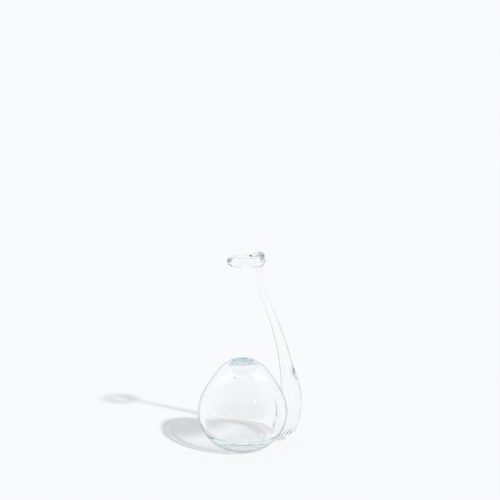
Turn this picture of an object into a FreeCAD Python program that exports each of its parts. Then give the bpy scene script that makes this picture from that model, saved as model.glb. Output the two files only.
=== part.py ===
import FreeCAD, Part

# Hand-blown glass bud vase with a solid glass arm and a ring that keeps the stems upright.
#
# Frame: millimetres, +Z up. The origin is the centre of the flat foot, on the axis of the
# bulb. The arm stands on the +X side, and all but the lap is symmetrical about the XZ plane.
#
# Pieces, one STEP file each. They are fused in the real vase and meet face to face here:
#   bulb         blown vessel with a thick base, a thinner flank and a thick shoulder
#   support_arm  solid drop on the flank of the bulb, drawn out into a thin leaning stem
#   stem_ring    thick ring on top of the stem, above the mouth
#   ring_lap     end of the ring's trail of glass, laid over its start above the arm

import math
import os

# ---------------------------------------------------------------- driving dimensions
# Bulb
BULB_HEIGHT = 89.4         # foot to the crest of the lip
BULB_RADIUS = 45.6         # widest place, outside
BELLY_HEIGHT = 34.0        # height of the widest place
FOOT_RADIUS = 21.0         # edge of the flat foot
FLANK_WALL = 6.2           # wall at the widest place
FLOOR_THICKNESS = 9.0      # glass under the middle of the cavity
MOUTH_RADIUS = 8.0         # bore of the mouth
MOUTH_LENGTH = 5.0         # straight length of that bore
LIP_ROUND = 3.2            # radius of the rim, from the dome over its crest into the bore

# Ring
RING_HEIGHT = 189.6        # middle of the ring above the foot
RING_OFFSET = 3.6          # axis of the ring beside that of the bulb, towards the arm
RING_HOLE_RADIUS = 9.75    # bore that the stems lean on
RING_TUBE_WIDTH = 9.8      # glass of the ring, measured outwards
RING_TUBE_HEIGHT = 9.6     # glass of the ring, measured upwards
RING_LAND = 3.0            # straight height of the bore

# Lap on the ring
LAP_RADIUS = 4.2           # half the thickness of the lapped trail
LAP_TIP_RADIUS = 2.4       # the same at its drawn-out tip
LAP_PROUD = 0.3            # its centre line above the crown of the ring
LAP_START_DEG = -40.0      # round the ring from the arm
LAP_TIP_DEG = 55.0

# Arm
ARM_TOP_RADIUS = 2.6       # thinnest place, just under the ring
ARM_MIDDLE_RADIUS = 4.0    # half way up the stem
ARM_DROP_RADIUS = 10.3     # thickest place, beside the belly of the bulb
ARM_WELD_DEPTH = 1.6       # how deep the drop is fused into the widest place of the bulb
ARM_FOOT_GAP = 6.5         # clear height under the drop
ARM_TUCK = 6.0             # how far the end of the drop lies under the belly


# ---------------------------------------------------------------- helpers
def xz(x, z):
    """Point in the XZ plane."""
    return FreeCAD.Vector(x, 0, z)


def line(a, b):
    """Straight edge."""
    return Part.makeLine(a, b)


def spline(points, start, end):
    """Smooth edge through points that leaves along start and arrives along end."""
    curve = Part.BSplineCurve()
    curve.interpolate(Points=points, InitialTangent=start, FinalTangent=end)
    return curve.toShape()


def turned(edges, axis_x=0.0):
    """Solid of revolution of a closed outline about the upright line at axis_x."""
    face = Part.Face(Part.Wire(edges))
    return one_solid(face.revolve(xz(axis_x, 0), FreeCAD.Vector(0, 0, 1), 360))


def one_solid(shape):
    """The single solid of a result, facing outwards."""
    found = shape.Solids
    assert len(found) == 1, f"expected one solid, found {len(found)}"
    solid = found[0].copy()
    if solid.Volume < 0:
        solid.reverse()
    return solid


def drawn_rod(centres, radii):
    """Round rod of changing thickness: a loft of circles square to a smooth centre line."""
    path = Part.BSplineCurve()
    path.interpolate(centres)
    rims = []
    for centre, radius in zip(centres, radii):
        along = path.tangent(path.parameter(centre))[0]
        rims.append(Part.Wire(Part.makeCircle(radius, centre, along)))
    return one_solid(Part.makeLoft(rims, True, False)), path


def write_piece(name, shape):
    """Write one piece to its own file and say what it measures."""
    shape.exportStep(f"parts/{name}.step")
    box = shape.BoundBox
    print(
        f"{name}: valid {shape.isValid()}, solids {len(shape.Solids)}, "
        f"{shape.Volume / 1000:.1f} cm3, x {box.XMin:.1f} to {box.XMax:.1f}, "
        f"z {box.ZMin:.1f} to {box.ZMax:.1f}"
    )


# ---------------------------------------------------------------- bulb
RIM_RADIUS = MOUTH_RADIUS + LIP_ROUND
BORE_TOP = BULB_HEIGHT - LIP_ROUND
BORE_BOTTOM = BORE_TOP - MOUTH_LENGTH
CAVITY_RADIUS = BULB_RADIUS - FLANK_WALL

# Shape of each stretch of wall, as (share of its way out, share of its way up or down).
OUTER_LOWER = [(0.25, 0.10), (0.50, 0.24), (0.72, 0.44), (0.907, 0.70)]
OUTER_DOME = [
    (0.975, 0.185), (0.895, 0.345), (0.765, 0.490), (0.600, 0.640), (0.420, 0.785), (0.240, 0.905),
]
CAVITY_ROOF = [(0.12, 0.115), (0.33, 0.195), (0.51, 0.285), (0.69, 0.415), (0.85, 0.59), (0.957, 0.79)]
CAVITY_LOWER = [(0.94, 0.54), (0.79, 0.22), (0.48, 0.03)]

FOOT_FLARE = FreeCAD.Vector(0.9, 0, 0.42)
INWARDS = FreeCAD.Vector(-1, 0, 0)
DOWNWARDS = FreeCAD.Vector(0, 0, -1)
RIM_START = math.radians(55)   # where the dome runs into the round of the rim


def on_rim(angle):
    """Point of the rim's round, at an angle above straight outwards."""
    return xz(RIM_RADIUS + LIP_ROUND * math.cos(angle), BORE_TOP + LIP_ROUND * math.sin(angle))


def outer_wall():
    """Outside of the bulb, from the edge of the foot up to the start of the rim."""
    points = [xz(FOOT_RADIUS, 0)]
    for out, up in OUTER_LOWER:
        points.append(xz(FOOT_RADIUS + out * (BULB_RADIUS - FOOT_RADIUS), up * BELLY_HEIGHT))
    points.append(xz(BULB_RADIUS, BELLY_HEIGHT))
    rim = on_rim(RIM_START)
    for out, up in OUTER_DOME:
        points.append(xz(rim.x + out * (BULB_RADIUS - rim.x),
                         BELLY_HEIGHT + up * (rim.z - BELLY_HEIGHT)))
    points.append(rim)
    return spline(points, FOOT_FLARE, xz(-math.sin(RIM_START), math.cos(RIM_START)))


def cavity_wall():
    """Inside of the bulb, from the bottom of the bore down to the middle of the floor."""
    points = [xz(MOUTH_RADIUS, BORE_BOTTOM)]
    for out, down in CAVITY_ROOF:
        points.append(xz(MOUTH_RADIUS + out * (CAVITY_RADIUS - MOUTH_RADIUS),
                         BORE_BOTTOM - down * (BORE_BOTTOM - BELLY_HEIGHT)))
    points.append(xz(CAVITY_RADIUS, BELLY_HEIGHT))
    for out, up in CAVITY_LOWER:
        points.append(xz(out * CAVITY_RADIUS,
                         FLOOR_THICKNESS + up * (BELLY_HEIGHT - FLOOR_THICKNESS)))
    points.append(xz(0, FLOOR_THICKNESS))
    return spline(points, DOWNWARDS, INWARDS)


def solid_bulb():
    """The bulb without its cavity, for trimming what is fused on it."""
    rim = on_rim(RIM_START)
    return turned([
        line(xz(0, 0), xz(FOOT_RADIUS, 0)),
        outer_wall(),
        line(rim, xz(0, rim.z)),
        line(xz(0, rim.z), xz(0, 0)),
    ])


def make_bulb():
    """Blown vessel: foot, flank, dome, lip, bore and cavity in one wall."""
    bore_start = xz(MOUTH_RADIUS, BORE_TOP)
    rim = Part.Arc(on_rim(RIM_START), on_rim((RIM_START + math.pi) / 2), bore_start)
    return turned([
        line(xz(0, 0), xz(FOOT_RADIUS, 0)),
        outer_wall(),
        rim.toShape(),
        line(bore_start, xz(MOUTH_RADIUS, BORE_BOTTOM)),
        cavity_wall(),
        line(xz(0, FLOOR_THICKNESS), xz(0, 0)),
    ])


# ---------------------------------------------------------------- ring and lap
# The section is an ellipse whose inner side is cut off by the straight bore.
LAND_ANGLE = math.asin(RING_LAND / RING_TUBE_HEIGHT)
SECTION_HALF_WIDTH = RING_TUBE_WIDTH / (1 + math.cos(LAND_ANGLE))
TUBE_CENTRE_RADIUS = RING_HOLE_RADIUS + RING_TUBE_WIDTH - SECTION_HALF_WIDTH
SECTION_STEPS = 12


def ring_section_point(angle):
    """Point of the section at an angle from straight inwards, turning over the top."""
    return xz(RING_OFFSET + TUBE_CENTRE_RADIUS - SECTION_HALF_WIDTH * math.cos(angle),
              RING_HEIGHT + RING_TUBE_HEIGHT / 2 * math.sin(angle))


def make_ring():
    """Thick ring with a short straight bore."""
    sweep = 2 * math.pi - 2 * LAND_ANGLE
    points = [ring_section_point(LAND_ANGLE + sweep * i / SECTION_STEPS) for i in range(SECTION_STEPS + 1)]
    lean = FreeCAD.Vector(SECTION_HALF_WIDTH * math.sin(LAND_ANGLE), 0,
                          RING_TUBE_HEIGHT / 2 * math.cos(LAND_ANGLE))
    back = FreeCAD.Vector(-lean.x, 0, lean.z)
    return turned([spline(points, lean, back), line(points[-1], points[0])], RING_OFFSET)


def make_lap(ring):
    """Tail of the trail: a tapering rod that rises out of the ring's crown and sinks back."""
    crown = RING_HEIGHT + RING_TUBE_HEIGHT / 2
    sunk = crown - LAP_RADIUS * 1.2
    heights = [sunk, crown + LAP_PROUD * 0.7, crown + LAP_PROUD, crown + LAP_PROUD * 0.4,
               crown - LAP_TIP_RADIUS * 1.2]
    thin = (LAP_RADIUS + LAP_TIP_RADIUS) / 2
    radii = [LAP_RADIUS * 0.85, LAP_RADIUS, LAP_RADIUS, thin, LAP_TIP_RADIUS]
    centres = []
    for i, height in enumerate(heights):
        angle = math.radians(LAP_START_DEG + (LAP_TIP_DEG - LAP_START_DEG) * i / (len(heights) - 1))
        centres.append(FreeCAD.Vector(RING_OFFSET + TUBE_CENTRE_RADIUS * math.cos(angle),
                                      TUBE_CENTRE_RADIUS * math.sin(angle), height))
    rod, _ = drawn_rod(centres, radii)
    return one_solid(rod.cut(ring))


# ---------------------------------------------------------------- arm
DROP_X = BULB_RADIUS + ARM_DROP_RADIUS - ARM_WELD_DEPTH
TOP_X = RING_OFFSET + TUBE_CENTRE_RADIUS
RING_UNDERSIDE = RING_HEIGHT - RING_TUBE_HEIGHT / 2
DROP_TOP_HEIGHT = BELLY_HEIGHT + ARM_DROP_RADIUS

# Stem from the top of the drop to the ring: share of its height, share of the lean that is
# left, and the radius as (share of the drop's own, share of the stem's half-way one).
STEM = [
    (0.00, 1.000, 1.00), (0.11, 0.940, 0.90), (0.20, 0.865, 0.63), (0.275, 0.795, 0.42),
    (0.40, 0.676, 0.22), (0.52, 0.532, 0.08),
]
STEM_UPPER = [(0.64, 0.364, 0.88), (0.76, 0.180, 0.64), (0.88, 0.036, 0.30), (0.955, -0.010, 0.0)]


def arm_stations():
    """Centres and radii of the arm, from the end of the drop up into the ring."""
    end_height = ARM_FOOT_GAP + ARM_DROP_RADIUS
    centres = [xz(DROP_X - ARM_TUCK, end_height), xz(DROP_X - 0.15 * ARM_TUCK, BELLY_HEIGHT - 3)]
    radii = [ARM_DROP_RADIUS, ARM_DROP_RADIUS]
    for up, lean, thick in STEM:
        centres.append(xz(TOP_X + lean * (DROP_X - TOP_X),
                          DROP_TOP_HEIGHT + up * (RING_UNDERSIDE - DROP_TOP_HEIGHT)))
        radii.append(ARM_MIDDLE_RADIUS + thick * (ARM_DROP_RADIUS - ARM_MIDDLE_RADIUS))
    for up, lean, thick in STEM_UPPER:
        centres.append(xz(TOP_X + lean * (DROP_X - TOP_X),
                          DROP_TOP_HEIGHT + up * (RING_UNDERSIDE - DROP_TOP_HEIGHT)))
        radii.append(ARM_TOP_RADIUS + thick * (ARM_MIDDLE_RADIUS - ARM_TOP_RADIUS))
    centres.append(xz(TOP_X, RING_HEIGHT))
    radii.append(ARM_TOP_RADIUS * 1.4)
    return centres, radii


def rounded_end(path):
    """Half ball that closes the drop, square to the arm's centre line at its start."""
    centre = path.value(path.FirstParameter)
    outwards = path.tangent(path.FirstParameter)[0] * -1
    ball = Part.makeSphere(ARM_DROP_RADIUS, FreeCAD.Vector(0, 0, 0), FreeCAD.Vector(0, 0, 1), 0, 90, 360)
    ball.Placement = FreeCAD.Placement(centre, FreeCAD.Rotation(FreeCAD.Vector(0, 0, 1), outwards))
    return ball


def make_arm(ring):
    """Drop and drawn-out stem in one piece, trimmed to the bulb and to the ring."""
    centres, radii = arm_stations()
    rod, path = drawn_rod(centres, radii)
    whole = rod.fuse(rounded_end(path))
    return one_solid(whole.cut(solid_bulb()).cut(ring))


def main():
    """Build every piece and write its file."""
    os.makedirs("parts", exist_ok=True)
    ring = make_ring()
    write_piece("bulb", make_bulb())
    write_piece("support_arm", make_arm(ring))
    write_piece("stem_ring", ring)
    write_piece("ring_lap", make_lap(ring))


main()
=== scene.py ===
"""Looks of a hand-blown glass bud vase with a glass arm and a ring that holds the stems.

Lengths are metres. The origin is the centre of the foot, +Z is up, and the arm stands on +X.
"""

import logging
import math
from dataclasses import dataclass, field
from enum import Enum
from typing import Callable, Sequence

import bmesh
import bpy
from mathutils import Matrix, Vector, noise
from mathutils.bvhtree import BVHTree


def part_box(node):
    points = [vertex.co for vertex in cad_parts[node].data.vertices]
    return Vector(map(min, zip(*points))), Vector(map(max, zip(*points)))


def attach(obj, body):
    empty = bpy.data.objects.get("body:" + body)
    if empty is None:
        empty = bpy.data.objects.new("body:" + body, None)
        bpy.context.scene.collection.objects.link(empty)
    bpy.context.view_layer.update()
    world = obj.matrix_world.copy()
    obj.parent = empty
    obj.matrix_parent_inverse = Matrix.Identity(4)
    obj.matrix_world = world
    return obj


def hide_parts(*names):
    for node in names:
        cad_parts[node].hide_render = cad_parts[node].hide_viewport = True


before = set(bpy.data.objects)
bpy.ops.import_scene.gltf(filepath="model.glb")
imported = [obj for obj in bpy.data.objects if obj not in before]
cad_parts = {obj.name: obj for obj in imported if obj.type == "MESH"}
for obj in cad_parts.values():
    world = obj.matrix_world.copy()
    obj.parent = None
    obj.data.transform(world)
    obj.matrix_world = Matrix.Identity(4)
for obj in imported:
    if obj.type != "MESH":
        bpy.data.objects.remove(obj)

log = logging.getLogger("bud_vase")

MM = 0.001
UP = Vector((0.0, 0.0, 1.0))
BODY = "root"


class Tone(Enum):
    """How much bottle-green shows in a gather of glass, and how dark its painted edge shade is."""

    CLEAR = "clear_glass"
    THICK = "thick_glass"


# ------------------------------------------------------------------ mesh helpers
def smooth_through(knots: Sequence[tuple[float, float]], steps: int) -> list[Vector]:
    """Points of a smooth outline through knots in the XZ plane.

    Args:
        knots: (x, z) places that the outline passes through, in order.
        steps: How many points each span between two knots gets.

    Returns:
        Points from the first knot to the last.
    """
    spots = [Vector((x, 0.0, z)) for x, z in knots]
    before = spots[0] * 2 - spots[1]
    after = spots[-1] * 2 - spots[-2]
    line = [before, *spots, after]
    points: list[Vector] = []
    for a, b, c, d in zip(line, line[1:], line[2:], line[3:]):
        for i in range(steps):
            points.append(catmull(a, b, c, d, i / steps))
    points.append(spots[-1])
    return points


def catmull(a: Vector, b: Vector, c: Vector, d: Vector, t: float) -> Vector:
    """Centripetal Catmull-Rom point between b and c.

    Args:
        a: Knot before the span.
        b: Start of the span.
        c: End of the span.
        d: Knot after the span.
        t: Share of the span, from 0 to 1.

    Returns:
        The point on the curve.
    """
    t0 = 0.0
    t1 = t0 + math.sqrt((b - a).length)
    t2 = t1 + math.sqrt((c - b).length)
    t3 = t2 + math.sqrt((d - c).length)
    u = t1 + (t2 - t1) * t
    p = a.lerp(b, (u - t0) / (t1 - t0))
    q = b.lerp(c, (u - t1) / (t2 - t1))
    r = c.lerp(d, (u - t2) / (t3 - t2))
    left = p.lerp(q, (u - t0) / (t2 - t0))
    right = q.lerp(r, (u - t1) / (t3 - t1))
    return left.lerp(right, (u - t1) / (t2 - t1))


def turn(outline: Sequence[Vector], axis_at: Vector, steps: int) -> bmesh.types.BMesh:
    """Turn an open outline once round an upright axis.

    Args:
        outline: Points in the XZ plane; ends on the axis are closed by merging.
        axis_at: A point of the axis.
        steps: How many steps the turn has.

    Returns:
        A mesh with its doubles merged.
    """
    bm = bmesh.new()
    rings = []
    for i in range(steps):
        swing = Matrix.Rotation(math.tau * i / steps, 3, "Z")
        rings.append([bm.verts.new(axis_at + swing @ (p - axis_at)) for p in outline])
    for a, b in zip(rings, rings[1:] + rings[:1]):
        for corners in zip(a, a[1:], b[1:], b):
            bm.faces.new(corners)
    bmesh.ops.remove_doubles(bm, verts=bm.verts, dist=0.01 * MM)
    return bm


def finish_mesh(bm: bmesh.types.BMesh, name: str) -> bpy.types.Object:
    """Make a smooth-shaded object of a closed mesh, with its faces outwards.

    Args:
        bm: The mesh; it is freed.
        name: Name of the piece.

    Returns:
        The object, at the origin.
    """
    bmesh.ops.recalc_face_normals(bm, faces=bm.faces)
    if bm.calc_volume(signed=True) < 0:
        bmesh.ops.reverse_faces(bm, faces=bm.faces)
    mesh = bpy.data.meshes.new(name)
    bm.to_mesh(mesh)
    bm.free()
    mesh.shade_smooth()
    piece = bpy.data.objects.new(name, mesh)
    bpy.context.scene.collection.objects.link(piece)
    return piece


def tree_of(piece: bpy.types.Object) -> BVHTree:
    """Search tree of a piece's mesh, for finding the nearest place on its surface.

    Args:
        piece: The finished piece.

    Returns:
        The tree.
    """
    bm = bmesh.new()
    bm.from_mesh(piece.data)
    tree = BVHTree.FromBMesh(bm)
    bm.free()
    return tree


@dataclass(frozen=True)
class Weld:
    """How one gather of hot glass settles on another.

    Attributes:
        reach: Height above the other surface at which the glass starts to spread.
        spread: How far it spreads where the two meet.
        sink: How deep the joint lies under the other surface.
        rounds: How often the crease of the joint is smoothed.
        lift: Way that what lies too deep is moved; None is the shortest way out.
    """

    reach: float = 3.0 * MM
    spread: float = 1.8 * MM
    sink: float = 0.25 * MM
    rounds: int = 10
    lift: Vector | None = None

    def settle(self, bm: bmesh.types.BMesh, onto: BVHTree, middle: Callable[[Vector], Vector]) -> None:
        """Spread a mesh where it nears another surface and seat what is inside it.

        Args:
            bm: The mesh to settle.
            onto: Search tree of the piece that it is joined to.
            middle: Gives the point of the mesh's own centre line beside a vertex.
        """
        near = []
        for vert in bm.verts:
            spot, normal, _, far = onto.find_nearest(vert.co)
            above = (vert.co - spot).dot(normal)
            if above > self.reach or (above > 0 and far > self.reach):
                continue
            share = 1 - max(above, 0.0) / self.reach
            outwards = vert.co - middle(vert.co)
            outwards -= normal * outwards.dot(normal)
            if outwards.length > 0:
                vert.co += outwards.normalized() * self.spread * share * share
            if above > -self.reach:
                near.append(vert)
        self.seat(bm.verts, onto)
        for _ in range(self.rounds):
            bmesh.ops.smooth_vert(
                bm, verts=near, factor=0.5, use_axis_x=True, use_axis_y=True, use_axis_z=True
            )
            self.seat(near, onto)

    def seat(self, verts: Sequence[bmesh.types.BMVert], onto: BVHTree) -> None:
        """Lift vertices that lie too deep under the other surface.

        Args:
            verts: The vertices to look at.
            onto: Search tree of the other piece.
        """
        for vert in verts:
            spot, normal, _, _ = onto.find_nearest(vert.co)
            if (vert.co - spot).dot(normal) < -self.sink:
                if self.lift is not None:
                    spot, normal, _, _ = onto.ray_cast(vert.co, self.lift)
                vert.co = spot - normal * self.sink


# ------------------------------------------------------------------ material helpers
class Nodes:
    """Small helper that adds and joins nodes in one tree."""

    def __init__(self, tree: bpy.types.NodeTree) -> None:
        """Start with an empty tree.

        Args:
            tree: The node tree to fill; its nodes are removed.
        """
        self.tree = tree
        tree.nodes.clear()

    def add(self, kind: str, **values: object) -> bpy.types.Node:
        """Add a node.

        Args:
            kind: Type name of the node.
            **values: Attributes to set, or socket values where the name is a socket's.

        Returns:
            The new node.
        """
        node = self.tree.nodes.new(kind)
        for key, value in values.items():
            title = key.replace("_", " ").title().replace("Ior", "IOR")
            if title in node.inputs:
                node.inputs[title].default_value = value
            else:
                setattr(node, key, value)
        return node

    def join(self, source: bpy.types.NodeSocket, target: bpy.types.NodeSocket) -> None:
        """Link an output to an input."""
        self.tree.links.new(source, target)

    def math(self, operation: str, *values: bpy.types.NodeSocket | float) -> bpy.types.NodeSocket:
        """Add a Math node.

        Args:
            operation: What it works out.
            *values: Its inputs in order, each a socket or a number.

        Returns:
            Its output.
        """
        node = self.add("ShaderNodeMath", operation=operation)
        for value, socket in zip(values, node.inputs):
            if isinstance(value, bpy.types.NodeSocket):
                self.join(value, socket)
            else:
                socket.default_value = value
        return node.outputs[0]

    def span(
        self, source: bpy.types.NodeSocket, ends: tuple[float, float], smooth: bool = True, **onto: float
    ) -> bpy.types.NodeSocket:
        """Map one span of values onto another.

        Args:
            source: The value to map.
            ends: Start and end of the span that it is mapped from.
            smooth: Whether both ends are eased.
            **onto: to_min and to_max, where they aren't 0 and 1.

        Returns:
            The mapped value.
        """
        easing = "SMOOTHSTEP" if smooth else "LINEAR"
        node = self.add(
            "ShaderNodeMapRange", interpolation_type=easing, from_min=ends[0], from_max=ends[1], **onto
        )
        self.join(source, node.inputs["Value"])
        return node.outputs[0]

    def ramp(
        self, height: bpy.types.NodeSocket, top: float, stops: Sequence[tuple[float, float]]
    ) -> bpy.types.NodeSocket:
        """Read a level off a grey ramp by height.

        Args:
            height: The height.
            top: Height of the ramp's far end.
            stops: (share of the top, level) of each stop, in order.

        Returns:
            The level.
        """
        node = self.add("ShaderNodeValToRGB")
        self.join(self.span(height, (0.0, top), smooth=False), node.inputs["Fac"])
        elements = node.color_ramp.elements
        while len(elements) > max(len(stops), 1):
            elements.remove(elements[-1])
        while len(elements) < len(stops):
            elements.new(1.0)
        for element, (at, level) in zip(elements, stops):
            element.position = at
            element.color = (level, level, level, 1.0)
        return node.outputs["Color"]


def hand_worked_group() -> bpy.types.NodeTree:
    """Node group for the skin of hand-worked glass: slow waves, drawn cords and fine scuffs.

    Returns:
        The group, with inputs for the size and height of each and outputs Height and Scuffs.
    """
    name = "hand_worked_glass"
    if name in bpy.data.node_groups:
        return bpy.data.node_groups[name]
    group = bpy.data.node_groups.new(name, "ShaderNodeTree")
    kit = Nodes(group)
    for label, value in (
        ("Wave Scale", 40.0),
        ("Wave Height", 0.5),
        ("Cord Scale", 120.0),
        ("Cord Height", 0.2),
        ("Scuff Level", 0.001),
    ):
        socket = group.interface.new_socket(label, in_out="INPUT", socket_type="NodeSocketFloat")
        socket.default_value = value
    group.interface.new_socket("Height", in_out="OUTPUT", socket_type="NodeSocketFloat")
    group.interface.new_socket("Scuffs", in_out="OUTPUT", socket_type="NodeSocketFloat")

    given = kit.add("NodeGroupInput")
    result = kit.add("NodeGroupOutput")
    place = kit.add("ShaderNodeTexCoord")

    waves = kit.add("ShaderNodeTexNoise", detail=1.0, roughness=0.4)
    kit.join(place.outputs["Object"], waves.inputs["Vector"])
    kit.join(given.outputs["Wave Scale"], waves.inputs["Scale"])
    wave_part = kit.math("MULTIPLY", waves.outputs["Fac"], given.outputs["Wave Height"])

    flat = kit.add("ShaderNodeMapping")
    flat.inputs["Scale"].default_value = (1.0, 1.0, 0.16)
    kit.join(place.outputs["Object"], flat.inputs["Vector"])
    cords = kit.add("ShaderNodeTexNoise", detail=2.0, roughness=0.5)
    kit.join(flat.outputs["Vector"], cords.inputs["Vector"])
    kit.join(given.outputs["Cord Scale"], cords.inputs["Scale"])
    both = kit.math("MULTIPLY_ADD", cords.outputs["Fac"], given.outputs["Cord Height"], wave_part)
    kit.join(both, result.inputs["Height"])

    parts = kit.add("ShaderNodeSeparateXYZ")
    kit.join(place.outputs["Object"], parts.inputs[0])
    low = kit.add("ShaderNodeMapRange", to_min=1.0, to_max=0.0)
    kit.join(parts.outputs["Z"], low.inputs["Value"])
    kit.join(given.outputs["Scuff Level"], low.inputs["From Max"])
    specks = kit.add("ShaderNodeTexNoise", scale=900.0, detail=3.0, roughness=0.7)
    kit.join(place.outputs["Object"], specks.inputs["Vector"])
    kit.join(kit.math("MULTIPLY", low.outputs[0], specks.outputs["Fac"]), result.inputs["Scuffs"])
    return group


@dataclass(frozen=True)
class BlownGlass:
    """Clear soda glass with a little green in its depth, and painted shade where it is seen edge on.

    Attributes:
        name: Name of the material.
        tint: Colour that a long path through the glass takes on.
        density: How soon that colour shows, per metre.
        edge: Painted shade: dark colour put into the glass where it is seen edge on.
        painted_edge_span: How far turned from the eye the painted edge shade starts and is full, from 0 to
            1.
        painted_edge_heights: How much of the painted edge shade shows at heights up the piece, as shares
            of painted_edge_top.
        painted_edge_top: Height at which that reaches 1.
        painted_edge_turns: How many surfaces of a ray show the painted edge shade.
        ior: Index of refraction.
        wave_height: Height of the slow waves of hand working.
        cord_height: Height of the drawn cords.
        cord_scale: Cords per metre.
        relief: How deep a wave or cord of height 1 is.
        scuff: Roughness that use has given the foot.
        shade_rim: What share of a lamp's light passes where the glass is seen edge on.
        shade_span: How far turned from the lamp that starts and is full.
        shade_middle: What share passes where it is faced squarely, by height over shade_top.
        shade_top: Height at which that reaches 1.
        shade_foot: How much of the edge's darkness is left close to the floor.
        foot_span: Heights between which the rest comes back.
    """

    name: str
    tint: tuple[float, float, float] = (0.28, 0.80, 0.86)
    density: float = 2.3
    # Painted shade: dark colour put into the glass where it is seen edge on, and where it shows.
    edge: tuple[float, float, float] = (0.26, 0.29, 0.31)
    painted_edge_span: tuple[float, float] = (0.60, 0.88)
    painted_edge_heights: Sequence[tuple[float, float]] = ((0.0, 1.0),)
    painted_edge_top: float = 200 * MM
    painted_edge_turns: int = 2
    ior: float = 1.5
    wave_height: float = 0.5
    cord_height: float = 0.15
    cord_scale: float = 110.0
    relief: float = 0.25 * MM
    scuff: float = 0.25
    shade_rim: float = 0.15
    shade_span: tuple[float, float] = (0.50, 0.76)
    shade_middle: Sequence[tuple[float, float]] = (
        (0.0, 1.0), (0.15, 1.0), (0.36, 0.72), (0.60, 0.95), (0.76, 0.45),
    )
    shade_top: float = 100 * MM
    shade_foot: float = 0.10
    foot_span: tuple[float, float] = (6 * MM, 22 * MM)

    def material(self) -> bpy.types.Material:
        """Build the material, or give the one that is already built.

        Returns:
            The node material.
        """
        if self.name in bpy.data.materials:
            return bpy.data.materials[self.name]
        made = bpy.data.materials.new(self.name)
        made.use_nodes = True
        kit = Nodes(made.node_tree)
        facing = kit.add("ShaderNodeLayerWeight", blend=0.5).outputs["Facing"]
        path = kit.add("ShaderNodeLightPath")
        parts = kit.add("ShaderNodeSeparateXYZ")
        kit.join(kit.add("ShaderNodeTexCoord").outputs["Object"], parts.inputs[0])
        height = parts.outputs["Z"]

        glass = kit.add("ShaderNodeBsdfPrincipled", ior=self.ior)
        glass.inputs["Transmission Weight"].default_value = 1.0
        # Painted shade: the glass's colour darkens where it is seen edge on, on the first surfaces that a
        # ray meets.
        self.paint_edge_shade(kit, glass, self.outline(kit, facing, path.outputs["Ray Depth"], height))
        self.work_skin(kit, glass)
        shade = kit.add("ShaderNodeBsdfTransparent")
        passed = self.passed_light(kit, facing, height)
        kit.join(kit.math("MAXIMUM", passed, path.outputs["Is Diffuse Ray"]), shade.inputs["Color"])
        mix = kit.add("ShaderNodeMixShader")
        onwards = kit.math("MAXIMUM", path.outputs["Is Shadow Ray"], path.outputs["Is Diffuse Ray"])
        kit.join(onwards, mix.inputs[0])
        kit.join(glass.outputs[0], mix.inputs[1])
        kit.join(shade.outputs[0], mix.inputs[2])

        depth = kit.add("ShaderNodeVolumeAbsorption")
        depth.inputs["Color"].default_value = (*self.tint, 1.0)
        depth.inputs["Density"].default_value = self.density
        result = kit.add("ShaderNodeOutputMaterial")
        kit.join(mix.outputs[0], result.inputs["Surface"])
        kit.join(depth.outputs[0], result.inputs["Volume"])
        return made

    def outline(
        self, kit: Nodes, facing: bpy.types.NodeSocket, turns: bpy.types.NodeSocket,
        height: bpy.types.NodeSocket,
    ) -> bpy.types.NodeSocket:
        """Work out how much painted edge shade shows, on the first surfaces that a ray meets.

        Args:
            kit: Helper of the material's tree.
            facing: How far the surface is turned from the eye.
            turns: How many surfaces the ray has met before this one.
            height: Height up the piece.

        Returns:
            The share of the painted edge shade.
        """
        # Painted shade: the share grows where the surface turns edge on to the eye, only for the first
        # surfaces a ray meets, and is scaled by height.
        early = kit.math("LESS_THAN", turns, self.painted_edge_turns - 0.5)
        rim = kit.math("MULTIPLY", kit.span(facing, self.painted_edge_span), early)
        return kit.math("MULTIPLY", rim, kit.ramp(height, self.painted_edge_top, self.painted_edge_heights))

    def paint_edge_shade(self, kit: Nodes, glass: bpy.types.Node, share: bpy.types.NodeSocket) -> None:
        """Mix the painted edge shade into the glass's colour.

        Args:
            kit: Helper of the material's tree.
            glass: The glass shader.
            share: How much of the painted edge shade shows.
        """
        hue = kit.add("ShaderNodeMix", data_type="RGBA")
        hue.inputs["A"].default_value = (1.0, 1.0, 1.0, 1.0)
        hue.inputs["B"].default_value = (*self.edge, 1.0)
        kit.join(share, hue.inputs["Factor"])
        kit.join(hue.outputs["Result"], glass.inputs["Base Color"])

    def work_skin(self, kit: Nodes, glass: bpy.types.Node) -> None:
        """Give the glass its waves, cords and scuffs.

        Args:
            kit: Helper of the material's tree.
            glass: The glass shader.
        """
        skin = kit.add("ShaderNodeGroup")
        skin.node_tree = hand_worked_group()
        skin.inputs["Wave Height"].default_value = self.wave_height
        skin.inputs["Cord Height"].default_value = self.cord_height
        skin.inputs["Cord Scale"].default_value = self.cord_scale
        bump = kit.add("ShaderNodeBump", strength=1.0, distance=self.relief)
        kit.join(skin.outputs["Height"], bump.inputs["Height"])
        kit.join(bump.outputs["Normal"], glass.inputs["Normal"])
        kit.join(kit.math("MULTIPLY", skin.outputs["Scuffs"], self.scuff), glass.inputs["Roughness"])

    def passed_light(
        self, kit: Nodes, facing: bpy.types.NodeSocket, height: bpy.types.NodeSocket
    ) -> bpy.types.NodeSocket:
        """Work out what share of a lamp's light passes, from the middle of the piece to its edge.

        Args:
            kit: Helper of the material's tree.
            facing: How far the surface is turned from the lamp.
            height: Height up the piece.

        Returns:
            The share.
        """
        turned = kit.span(facing, self.shade_span)
        foot = kit.span(height, self.foot_span, to_min=self.shade_foot)
        level = kit.add("ShaderNodeMix", data_type="FLOAT")
        level.inputs["B"].default_value = self.shade_rim
        kit.join(kit.math("MULTIPLY", turned, foot), level.inputs["Factor"])
        kit.join(kit.ramp(height, self.shade_top, self.shade_middle), level.inputs["A"])
        return level.outputs[0]


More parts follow.
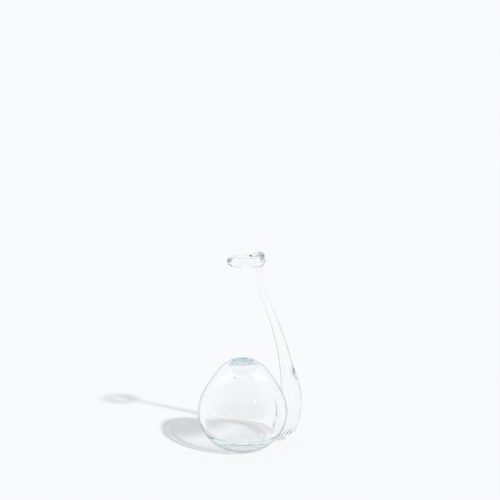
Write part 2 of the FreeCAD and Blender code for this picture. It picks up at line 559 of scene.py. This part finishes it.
FINISHES = {
    Tone.CLEAR: BlownGlass("clear_blown_glass"),
    Tone.THICK: BlownGlass(
        "thick_drawn_glass",
        density=1.9,
        # Painted shade: near-black edge colour, full between about 94 and 124 mm up and weaker above and
        # below.
        edge=(0.08, 0.09, 0.10),
        painted_edge_span=(0.42, 0.78),
        painted_edge_heights=((0.0, 0.22), (0.36, 0.28), (0.47, 1.0), (0.62, 1.0), (0.78, 0.35), (1.0, 0.35)),
        cord_height=0.3,
        cord_scale=150.0,
        shade_middle=((0.0, 0.62),),
    ),
}


def dress(piece: bpy.types.Object, tone: Tone, node: str) -> bpy.types.Object:
    """Give a piece its glass and its body, and hide the CAD node that it stands for.

    Args:
        piece: The finished piece.
        tone: Which glass it is made of.
        node: Name of the CAD node.

    Returns:
        The piece.
    """
    piece.data.materials.append(FINISHES[tone].material())
    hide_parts(node)
    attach(piece, BODY)
    return piece


# ------------------------------------------------------------------ bulb
@dataclass
class Bulb:
    """Free-blown onion-shaped vessel with a narrow mouth.

    Attributes:
        high: Highest corner of the CAD bulb.
        belly: Height of the widest place.
        foot: Radius of the flat foot.
        wall: Wall at the belly.
        floor: Glass under the middle of the cavity.
        mouth: Radius of the bore.
        bore: Straight length of the bore.
        lip: Radius of the rim's round.
        mark: Radius of the mark where the iron was broken off.
        mark_depth: How deep that mark is.
        steps: How many steps the turn has.
        sway: How far the wall strays from a true round.
        sway_scale: Waves of that sway, per metre.
        sway_from: Where in the noise they start.
        calm: Height under the lip in which the sway fades.
        rim_start: Angle above level at which the dome runs into the rim's round.
        lower: Outside from foot to belly, as shares of the way out and up.
        dome: Outside from belly to rim, as shares of the radius and height left.
        roof: Inside from bore to belly, as shares of the way out and down.
        basin: Inside from belly to floor, as shares of the radius and height.
    """

    high: Vector
    belly: float = 34.0 * MM
    foot: float = 21.0 * MM
    wall: float = 6.2 * MM
    floor: float = 9.0 * MM
    mouth: float = 8.0 * MM
    bore: float = 5.0 * MM
    lip: float = 3.2 * MM
    mark: float = 7.5 * MM
    mark_depth: float = 0.9 * MM
    steps: int = 176
    sway: float = 0.35 * MM
    sway_scale: float = 22.0
    sway_from: tuple[float, float, float] = (3.0, 1.0, 7.0)
    calm: float = 20.0 * MM
    rim_start: float = math.radians(55)
    lower: Sequence[tuple[float, float]] = ((0.25, 0.10), (0.50, 0.24), (0.72, 0.44), (0.907, 0.70))
    dome: Sequence[tuple[float, float]] = (
        (0.975, 0.185), (0.895, 0.345), (0.765, 0.490), (0.600, 0.640), (0.420, 0.785), (0.240, 0.905),
    )
    roof: Sequence[tuple[float, float]] = (
        (0.12, 0.115), (0.33, 0.195), (0.51, 0.285), (0.69, 0.415), (0.85, 0.59), (0.957, 0.79),
    )
    basin: Sequence[tuple[float, float]] = ((0.94, 0.54), (0.79, 0.22), (0.48, 0.03))

    @property
    def radius(self) -> float:
        """Outer radius of the belly."""
        return self.high.x

    @property
    def bore_top(self) -> float:
        """Height at which the rim's round runs into the bore."""
        return self.high.z - self.lip

    def on_rim(self, angle: float) -> tuple[float, float]:
        """Place on the rim's round, at an angle above straight outwards."""
        out = self.mouth + self.lip + self.lip * math.cos(angle)
        return out, self.bore_top + self.lip * math.sin(angle)

    def outside(self) -> list[Vector]:
        """Outline from the edge of the foot to the start of the rim.

        Returns:
            Its points in the XZ plane.
        """
        rim_x, rim_z = self.on_rim(self.rim_start)
        knots = [(self.foot, 0.0)]
        knots += [(self.foot + out * (self.radius - self.foot), up * self.belly) for out, up in self.lower]
        knots.append((self.radius, self.belly))
        knots += [
            (rim_x + out * (self.radius - rim_x), self.belly + up * (rim_z - self.belly))
            for out, up in self.dome
        ]
        knots.append((rim_x, rim_z))
        return smooth_through(knots, 6)

    def rim(self) -> list[Vector]:
        """Outline over the rim into the bore.

        Returns:
            Its points in the XZ plane.
        """
        count = 14
        angles = [self.rim_start + (math.pi - self.rim_start) * i / count for i in range(1, count + 1)]
        return [Vector((x, 0.0, z)) for x, z in map(self.on_rim, angles)]

    def inside(self) -> list[Vector]:
        """Outline from the bottom of the bore to the middle of the cavity's floor.

        Returns:
            Its points in the XZ plane.
        """
        bottom = self.bore_top - self.bore
        cavity = self.radius - self.wall
        knots = [(self.mouth, self.bore_top - 0.5 * self.bore), (self.mouth, bottom + 0.1 * self.bore)]
        knots += [
            (self.mouth + out * (cavity - self.mouth), bottom - down * (bottom - self.belly))
            for out, down in self.roof
        ]
        knots.append((cavity, self.belly))
        knots += [(out * cavity, self.floor + up * (self.belly - self.floor)) for out, up in self.basin]
        knots.append((0.0, self.floor))
        return smooth_through(knots, 6)

    def underside(self) -> list[Vector]:
        """Outline of the foot: polished flat with a shallow mark where the iron was broken off.

        Returns:
            Its points in the XZ plane, from the axis outwards.
        """
        mark, depth = self.mark, self.mark_depth
        points = [(0.0, depth), (0.5 * mark, 0.8 * depth), (0.85 * mark, 0.3 * depth), (mark, 0.04 * MM)]
        points += [(1.1 * mark, 0.0), (0.6 * self.foot, 0.0), (self.foot - 0.8 * MM, 0.0)]
        return [Vector((x, 0.0, z)) for x, z in points]

    def mesh(self) -> bmesh.types.BMesh:
        """Turn the whole wall, then let it sway a little, as blown glass does.

        Returns:
            The closed mesh.
        """
        outline = self.underside() + self.outside() + self.rim() + self.inside()
        bm = turn(outline, Vector(), self.steps)
        for vert in bm.verts:
            free = min(1.0, vert.co.z / self.belly) * min(1.0, (self.high.z - vert.co.z) / self.calm)
            wave = noise.noise(vert.co * self.sway_scale + Vector(self.sway_from))
            flat = Vector((vert.co.x, vert.co.y, 0.0))
            if flat.length > 0:
                vert.co += flat.normalized() * self.sway * wave * max(free, 0.0)
        return bm

    def build(self) -> bpy.types.Object:
        """Make the bulb and dress it."""
        return dress(finish_mesh(self.mesh(), "blown_bulb"), Tone.CLEAR, "bulb")


# ------------------------------------------------------------------ ring and lap
@dataclass
class StemRing:
    """Thick ring that the stems lean on, made of the wound end of the arm's trail.

    Attributes:
        low: Lowest corner of the CAD ring.
        high: Highest corner of the CAD ring.
        hole: Radius of the hole.
        land: Straight height of the hole.
        steps: How many steps the turn has.
        sway: How far the glass strays from a true ring.
        sway_scale: Waves of that sway, per metre.
        sway_from: Where in the noise they start.
    """

    low: Vector
    high: Vector
    hole: float = 9.75 * MM
    land: float = 3.0 * MM
    steps: int = 120
    sway: float = 0.25 * MM
    sway_scale: float = 60.0
    sway_from: tuple[float, float, float] = (5.0, 2.0, 1.0)

    @property
    def middle(self) -> Vector:
        """Centre of the ring."""
        return (self.low + self.high) / 2

    @property
    def half_height(self) -> float:
        """Half the height of the ring's glass."""
        return (self.high.z - self.low.z) / 2

    @property
    def half_width(self) -> float:
        """Half the width of the ring's section."""
        width = (self.high.x - self.low.x) / 2 - self.hole
        return width / (1 + math.cos(math.asin(0.5 * self.land / self.half_height)))

    @property
    def track(self) -> float:
        """Radius of the middle of the ring's glass."""
        return (self.high.x - self.low.x) / 2 - self.half_width

    def mesh(self) -> bmesh.types.BMesh:
        """Turn the section and let it sway.

        Returns:
            The closed mesh.
        """
        count = 40
        section = [
            Vector((
                self.middle.x + self.track - self.half_width * math.cos(math.tau * i / count),
                0.0,
                self.middle.z + self.half_height * math.sin(math.tau * i / count),
            ))
            for i in range(count + 1)
        ]
        bm = turn(section, self.middle, self.steps)
        for vert in bm.verts:
            wave = noise.noise(vert.co * self.sway_scale + Vector(self.sway_from))
            away = vert.co - self.middle
            level = Vector((away.x, away.y, 0.0)).normalized()
            vert.co += (away - level * self.track).normalized() * self.sway * (wave - 0.5)
        return bm

    def build(self) -> bpy.types.Object:
        """Make the ring and dress it."""
        return dress(finish_mesh(self.mesh(), "wound_ring"), Tone.THICK, "stem_ring")


@dataclass
class Rod:
    """Round rod of changing thickness along a smooth line.

    Attributes:
        centres: Places on the line.
        radii: Radius at each place.
        spans: How many rings each span between two places gets.
        sides: How many sides the rod has.
        line: Places along the smooth line, worked out.
        thick: Radius at each of them.
    """

    centres: list[Vector]
    radii: list[float]
    spans: int = 8
    sides: int = 32
    line: list[Vector] = field(default_factory=list)
    thick: list[float] = field(default_factory=list)

    def __post_init__(self) -> None:
        """Work out the line and its thickness between the given places."""
        before = self.centres[0] * 2 - self.centres[1]
        after = self.centres[-1] * 2 - self.centres[-2]
        ends = [before, *self.centres, after]
        sizes = [self.radii[0], *self.radii, self.radii[-1]]
        for k in range(1, len(ends) - 2):
            for i in range(self.spans):
                share = i / self.spans
                self.line.append(catmull(*ends[k - 1:k + 3], share))
                self.thick.append(self.between(sizes[k - 1:k + 3], share))
        self.line.append(self.centres[-1])
        self.thick.append(self.radii[-1])

    @staticmethod
    def between(values: Sequence[float], share: float) -> float:
        """Smooth value between the middle two of four.

        Args:
            values: The four values.
            share: Share of the way from the second to the third.

        Returns:
            The value there.
        """
        a, b, c, d = values
        tilt_b, tilt_c = (c - a) / 2, (d - b) / 2
        t2, t3 = share * share, share ** 3
        return (
            (2 * t3 - 3 * t2 + 1) * b + (t3 - 2 * t2 + share) * tilt_b
            + (3 * t2 - 2 * t3) * c + (t3 - t2) * tilt_c
        )

    def along(self, k: int) -> Vector:
        """Direction of the line at a ring."""
        return (self.line[min(k + 1, len(self.line) - 1)] - self.line[max(k - 1, 0)]).normalized()

    def nearest(self, spot: Vector) -> Vector:
        """Place of the line nearest to a spot."""
        return min(self.line, key=lambda p: (p - spot).length_squared)

    def mesh(self, cap_rings: int = 10) -> bmesh.types.BMesh:
        """Bridge rings of vertices along the line and round both ends off.

        Args:
            cap_rings: How many rings each rounded end has.

        Returns:
            The closed mesh.
        """
        bm = bmesh.new()
        stations: list[tuple[Vector, Vector, float]] = []
        first, last = self.along(0), self.along(len(self.line) - 1)
        for i in range(1, cap_rings):
            turn_by = 0.5 * math.pi * i / cap_rings
            back = self.thick[0] * math.cos(turn_by)
            stations.append((self.line[0] - first * back, first, self.thick[0] * math.sin(turn_by)))
        stations += [(p, self.along(k), self.thick[k]) for k, p in enumerate(self.line)]
        for i in range(1, cap_rings):
            turn_by = 0.5 * math.pi * (1 - i / cap_rings)
            ahead = self.thick[-1] * math.cos(turn_by)
            stations.append((self.line[-1] + last * ahead, last, self.thick[-1] * math.sin(turn_by)))
        rings = []
        for centre, along, radius in stations:
            frame_turn = along.to_track_quat("Z", "Y").to_matrix().to_4x4()
            made = bmesh.ops.create_circle(
                bm, cap_ends=False, segments=self.sides, radius=radius,
                matrix=Matrix.Translation(centre) @ frame_turn,
            )
            rings.append(made["verts"])
        for a, b in zip(rings, rings[1:]):
            edges = dict.fromkeys(
                e for ring in (a, b) for v in ring for e in v.link_edges if e.other_vert(v) in ring
            )
            bmesh.ops.bridge_loops(bm, edges=list(edges))
        for ring in (rings[0], rings[-1]):
            bmesh.ops.contextual_create(bm, geom=ring)
        bmesh.ops.remove_doubles(bm, verts=bm.verts, dist=0.002 * MM)
        return bm


@dataclass
class RingLap:
    """End of the trail, laid over the crown of the ring above the arm.

    Attributes:
        ring: The ring that it lies on.
        radius: Half its thickness.
        tip: Half the thickness of its drawn-out end.
        proud: How far its centre line stands above the ring's crown.
        start: Where it rises out of the ring, as an angle from the arm.
        end: Where it sinks back.
    """

    ring: StemRing
    radius: float = 4.2 * MM
    tip: float = 2.4 * MM
    proud: float = 0.3 * MM
    start: float = math.radians(-40)
    end: float = math.radians(55)

    def build(self, ring_piece: bpy.types.Object) -> bpy.types.Object:
        """Make the lap, settle it on the ring and dress it.

        Args:
            ring_piece: The finished ring.

        Returns:
            The piece.
        """
        crown = self.ring.high.z
        heights = [crown - 1.2 * self.radius, crown + 0.7 * self.proud, crown + self.proud,
                   crown + 0.4 * self.proud, crown - 1.2 * self.tip]
        radii = [0.85 * self.radius, self.radius, self.radius, (self.radius + self.tip) / 2, self.tip]
        centres = []
        for i, height in enumerate(heights):
            angle = self.start + (self.end - self.start) * i / (len(heights) - 1)
            centres.append(Vector((
                self.ring.middle.x + self.ring.track * math.cos(angle),
                self.ring.track * math.sin(angle),
                height,
            )))
        rod = Rod(centres, radii)
        bm = rod.mesh()
        weld = Weld(reach=1.5 * MM, spread=0.9 * MM, sink=0.2 * MM, lift=UP)
        weld.settle(bm, tree_of(ring_piece), rod.nearest)
        return dress(finish_mesh(bm, "ring_lap_tail"), Tone.THICK, "ring_lap")


# ------------------------------------------------------------------ arm
@dataclass(frozen=True)
class ToolMark:
    """Dent that a tool left in the side of the soft arm, with creases where the glass folded.

    Attributes:
        height: Height of its middle.
        facing: Side of the arm that it is on, as an angle from +X.
        width: Distance from its middle at which it fades, level.
        length: The same, upright.
        depth: How deep it is.
        creases: Folds over its width; 0 is a plain dent.
        lean: How far the folds lean.
    """

    height: float
    facing: float
    width: float
    length: float
    depth: float
    creases: float = 0.0
    lean: float = 0.0

    def press(self, bm: bmesh.types.BMesh, line: Sequence[Vector]) -> None:
        """Press the mark into the arm.

        Args:
            bm: The arm's mesh.
            line: Places along the arm's centre line.
        """
        middle = min(line, key=lambda p: abs(p.z - self.height))
        outwards = Vector((math.cos(self.facing), math.sin(self.facing), 0.0))
        across = UP.cross(outwards)
        for vert in bm.verts:
            away = vert.co - middle
            if away.dot(outwards) <= 0:
                continue
            u, v = away.dot(across) / self.width, (vert.co.z - self.height) / self.length
            fold = math.cos(math.pi * self.creases * (u + self.lean * v))
            vert.co -= outwards * self.depth * fold * math.exp(-u * u - v * v)


@dataclass
class SupportArm:
    """Solid drop on the bulb's flank, drawn out into a leaning stem that carries the ring.

    Attributes:
        bulb: The bulb that it is fused on.
        ring: The ring that it carries.
        drop: Radius of the drop.
        middle: Radius half way up the stem.
        top: Radius under the ring.
        weld: How deep the drop is fused into the belly.
        gap: Clear height under the drop.
        tuck: How far the end of the drop lies under the belly.
        marks: Where tools touched the soft glass.
        stem: Lower half from the drop: shares of the rise, of the lean and of the thickness left.
        stem_upper: The same for the upper half.
    """

    bulb: Bulb
    ring: StemRing
    drop: float = 10.3 * MM
    middle: float = 4.0 * MM
    top: float = 2.6 * MM
    weld: float = 1.6 * MM
    gap: float = 6.5 * MM
    tuck: float = 6.0 * MM
    marks: Sequence[ToolMark] = (
        ToolMark(73 * MM, math.radians(-66), 2.4 * MM, 6.5 * MM, 3.0 * MM),
        ToolMark(57 * MM, math.radians(-26), 1.5 * MM, 3.0 * MM, 1.2 * MM),
        ToolMark(17 * MM, math.radians(-113), 4.6 * MM, 6.5 * MM, 2.8 * MM, creases=2.7, lean=-0.8),
    )
    stem: Sequence[tuple[float, float, float]] = (
        (0.00, 1.000, 1.00), (0.11, 0.940, 0.90), (0.20, 0.865, 0.63), (0.275, 0.795, 0.42),
        (0.40, 0.676, 0.22), (0.52, 0.532, 0.08),
    )
    stem_upper: Sequence[tuple[float, float, float]] = (
        (0.64, 0.364, 0.88), (0.76, 0.180, 0.64), (0.88, 0.036, 0.30), (0.955, -0.010, 0.0),
    )

    def stations(self) -> tuple[list[Vector], list[float]]:
        """Places and radii along the arm, from the end of the drop up into the ring.

        Returns:
            The places, and the radius at each.
        """
        out = self.bulb.radius + self.drop - self.weld
        inn = self.ring.middle.x + self.ring.track
        start = self.bulb.belly + self.drop
        rise = self.ring.low.z - start
        centres = [
            Vector((out - self.tuck, 0.0, self.gap + self.drop)),
            Vector((out - 0.15 * self.tuck, 0.0, self.bulb.belly - 3 * MM)),
        ]
        radii = [self.drop, self.drop]
        lower = (self.stem, self.middle, self.drop)
        upper = (self.stem_upper, self.top, self.middle)
        for stations, thin, thick in (lower, upper):
            for up, lean, share in stations:
                centres.append(Vector((inn + lean * (out - inn), 0.0, start + up * rise)))
                radii.append(thin + share * (thick - thin))
        centres.append(Vector((inn, 0.0, self.ring.low.z + 2 * MM)))
        radii.append(1.3 * self.top)
        return centres, radii

    def build(self, bulb_piece: bpy.types.Object, ring_piece: bpy.types.Object) -> bpy.types.Object:
        """Make the arm, settle it on the bulb and under the ring, and dress it.

        Args:
            bulb_piece: The finished bulb.
            ring_piece: The finished ring.

        Returns:
            The piece.
        """
        rod = Rod(*self.stations(), spans=18, sides=112)
        bm = rod.mesh(28)
        on_bulb = Weld(reach=3.5 * MM, spread=1.2 * MM, rounds=24)
        on_bulb.settle(bm, tree_of(bulb_piece), rod.nearest)
        for mark in self.marks:
            mark.press(bm, rod.line)
        under_ring = Weld(reach=3.0 * MM, spread=1.2 * MM, lift=-UP)
        under_ring.settle(bm, tree_of(ring_piece), rod.nearest)
        return dress(finish_mesh(bm, "drawn_arm"), Tone.THICK, "support_arm")


# ------------------------------------------------------------------ studio
@dataclass(frozen=True)
class Studio:
    """Plain pale floor, soft light and the camera.

    Attributes:
        azimuth: Direction of the camera's view round +Z, from looking along +Y.
        distance: From the vase's axis to the camera, level.
        height: Height of the camera.
        pitch: How far it looks down.
        lens: Focal length for the sensor's width, in millimetres.
        sensor: Width of the sensor, in millimetres.
        shift: Sideways shift of the view, as a share of its width.
        floor_size: Half the width of the floor.
        paper: Colour of the floor.
        key_strength: Strength of the key light.
        key_elevation: Its height above level, as an angle.
        key_softness: Its width as seen from the vase, as an angle.
        key_way: Which way its light goes, to the camera's right and away from it.
        wall_light: Level of the walls.
        wall_tint: Tint of the whole room.
        ceiling_light: Level of the ceiling.
        ceiling_span: How far up the walls run into the ceiling, as the sine of the angle.
        front_light: Level of the side behind the camera.
        front_span: How far towards that side the walls run into it, as a cosine.
        turns: How often light may turn on its way.
        mirrored_turns: How often it may be mirrored.
    """

    azimuth: float = math.radians(-20.0)
    distance: float = 0.880
    height: float = 0.2935
    pitch: float = math.radians(6.0)
    lens: float = 63.94
    sensor: float = 36.0
    shift: float = 0.0146
    floor_size: float = 60.0
    paper: tuple[float, float, float] = (0.791, 0.792, 0.798)
    key_strength: float = 2.15
    key_elevation: float = math.radians(39.0)
    key_softness: float = math.radians(3.0)
    key_way: tuple[float, float] = (-0.81, 0.935)
    wall_light: float = 0.957
    wall_tint: tuple[float, float, float] = (0.9940, 0.9975, 1.0125)
    ceiling_light: float = 1.1
    ceiling_span: tuple[float, float] = (0.25, 0.9)
    front_light: float = 0.25
    front_span: tuple[float, float] = (-0.20, 0.70)
    turns: int = 48
    mirrored_turns: int = 32

    def turned(self, x: float, y: float) -> Vector:
        """A level direction given to the camera's right and away from it, in the vase's frame."""
        c, s = math.cos(self.azimuth), math.sin(self.azimuth)
        return Vector((c * x - s * y, s * x + c * y, 0.0))

    def camera(self) -> None:
        """Place the camera."""
        data = bpy.data.cameras.new("camera")
        data.lens, data.sensor_width, data.shift_x = self.lens, self.sensor, self.shift
        data.clip_start, data.clip_end = 0.01, 200.0
        camera = bpy.data.objects.new("camera", data)
        spot = self.turned(0.0, -self.distance)
        camera.location = (spot.x, spot.y, self.height)
        camera.rotation_euler = (0.5 * math.pi - self.pitch, 0.0, self.azimuth)
        bpy.context.scene.collection.objects.link(camera)
        bpy.context.scene.camera = camera

    def floor(self) -> None:
        """Lay the pale floor."""
        bm = bmesh.new()
        bmesh.ops.create_grid(bm, x_segments=1, y_segments=1, size=self.floor_size)
        floor = finish_mesh(bm, "studio_floor")
        made = bpy.data.materials.new("pale_floor")
        made.use_nodes = True
        kit = Nodes(made.node_tree)
        skin = kit.add("ShaderNodeBsdfDiffuse", color=(*self.paper, 1.0))
        result = kit.add("ShaderNodeOutputMaterial")
        kit.join(skin.outputs[0], result.inputs["Surface"])
        floor.data.materials.append(made)

    def key(self) -> None:
        """Hang the key light to the camera's right, on the camera's side of the vase."""
        data = bpy.data.lights.new("key", "SUN")
        data.energy, data.angle = self.key_strength, self.key_softness
        lamp = bpy.data.objects.new("key", data)
        level = self.turned(*self.key_way).normalized() * math.cos(self.key_elevation)
        travel = Vector((level.x, level.y, -math.sin(self.key_elevation)))
        lamp.rotation_euler = travel.to_track_quat("-Z", "Y").to_euler()
        bpy.context.scene.collection.objects.link(lamp)

    def surroundings(self) -> None:
        """Light the room: pale walls, a brighter ceiling and a dim side behind the camera."""
        world = bpy.data.worlds.new("studio")
        world.use_nodes = True
        bpy.context.scene.world = world
        kit = Nodes(world.node_tree)
        place = kit.add("ShaderNodeTexCoord")
        parts = kit.add("ShaderNodeSeparateXYZ")
        kit.join(place.outputs["Generated"], parts.inputs[0])
        levels = {"to_min": self.wall_light, "to_max": self.ceiling_light}
        upper = kit.span(parts.outputs["Z"], self.ceiling_span, **levels)
        facing = kit.add("ShaderNodeVectorMath", operation="DOT_PRODUCT")
        facing.inputs[1].default_value = self.turned(0.0, -1.0)
        kit.join(place.outputs["Generated"], facing.inputs[0])
        level = kit.add("ShaderNodeMix", data_type="FLOAT")
        level.inputs["B"].default_value = self.front_light
        kit.join(kit.span(facing.outputs["Value"], self.front_span), level.inputs["Factor"])
        kit.join(upper, level.inputs["A"])
        hue = kit.add("ShaderNodeVectorMath", operation="MULTIPLY")
        hue.inputs[1].default_value = self.wall_tint
        kit.join(level.outputs[0], hue.inputs[0])
        light = kit.add("ShaderNodeBackground")
        kit.join(hue.outputs["Vector"], light.inputs["Color"])
        result = kit.add("ShaderNodeOutputWorld")
        kit.join(light.outputs[0], result.inputs["Surface"])

    def light_paths(self) -> None:
        """Let light turn often enough inside thick glass to come out again."""
        paths = bpy.context.scene.cycles
        paths.max_bounces = paths.transmission_bounces = self.turns
        paths.glossy_bounces = self.mirrored_turns

    def build(self) -> None:
        """Set up the whole studio."""
        self.light_paths()
        self.floor()
        self.key()
        self.surroundings()
        self.camera()
        bpy.context.scene.view_settings.view_transform = "Standard"


def main() -> None:
    """Build the vase, then the studio."""
    logging.basicConfig(level=logging.INFO, format="%(name)s: %(message)s")
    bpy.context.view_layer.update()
    bulb = Bulb(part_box("bulb")[1])
    ring = StemRing(*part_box("stem_ring"))
    bulb_piece = bulb.build()
    ring_piece = ring.build()
    made = [bulb_piece, ring_piece]
    made.append(RingLap(ring).build(ring_piece))
    made.append(SupportArm(bulb, ring).build(bulb_piece, ring_piece))
    for piece in made:
        log.info("%s: %d faces", piece.name, len(piece.data.polygons))
    Studio().build()


if __name__ == "__main__":
    main()
